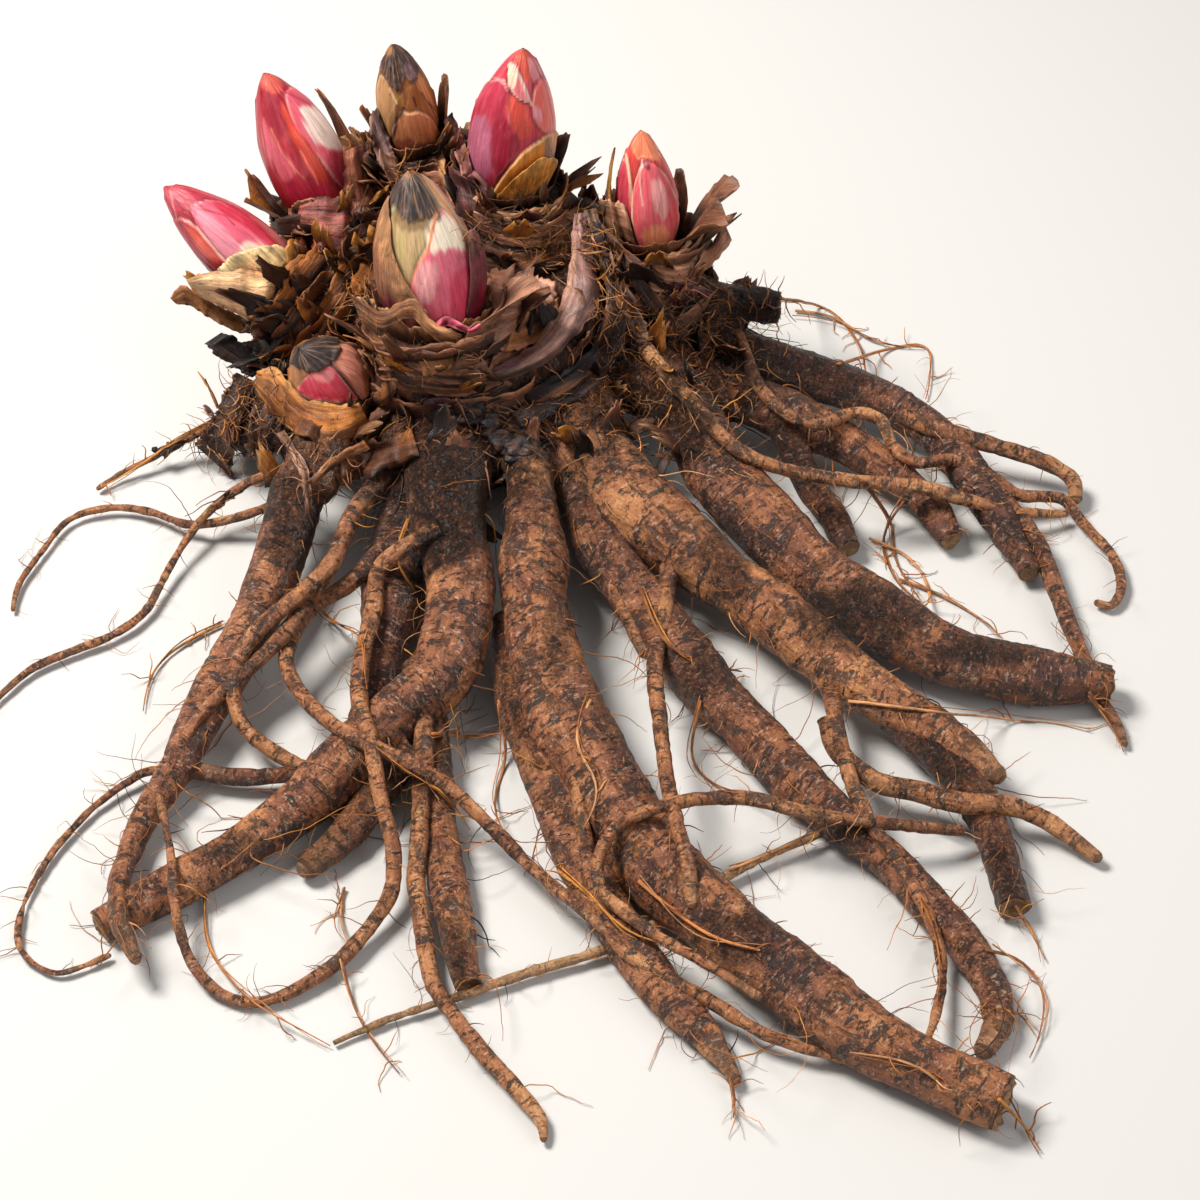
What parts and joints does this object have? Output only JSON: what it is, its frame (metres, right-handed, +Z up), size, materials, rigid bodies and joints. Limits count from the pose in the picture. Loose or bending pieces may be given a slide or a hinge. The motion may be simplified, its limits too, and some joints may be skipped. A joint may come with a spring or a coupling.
{
  "type": "rhubarb crown",
  "caption": "Bare-root plant crown: squat rootstock topped with wrapped pointed buds in torn papery husks, above a spread of thick tapering storage roots and thin side roots.",
  "frame": {"origin": "centre of the flat resting spot under the rootstock, on the floor plane", "axes": "+Z up from the floor; the storage roots spread towards -Y and +X; +X is to the right in the picture"},
  "size_m": [0.3016, 0.3173, 0.105],
  "materials": {
    "root_bark": "rough, earthy bark",
    "bud_pink": "smooth, waxy",
    "bud_brown": "dry, satin",
    "husk": "dry, papery",
    "scale_cream": "smooth, waxy",
    "scale_amber": "dry, papery",
    "scale_dark": "dry, satin"
  },
  "bodies": {
    "root": {"rootstock_with_roots": "root_bark", "bud_left": "bud_pink", "bud_upper_left": "bud_pink", "bud_top_brown": "bud_brown", "bud_top_pink": "bud_pink", "bud_right": "bud_pink", "bud_front": "bud_pink", "bud_lower_left": "bud_pink", "husk_left": "husk", "husk_upper_left": "husk", "husk_top_brown": "husk", "husk_top_pink": "husk", "husk_right": "husk", "husk_front": "husk", "husk_lower_left": "husk", "scale_left_cream": "scale_cream", "scale_upper_left": "husk", "scale_top_amber": "scale_amber", "scale_right_olive": "scale_dark", "scale_front_hood": "scale_cream", "scale_front_purple": "scale_dark", "scale_front_papery": "scale_amber"}
  },
  "joints": []
}
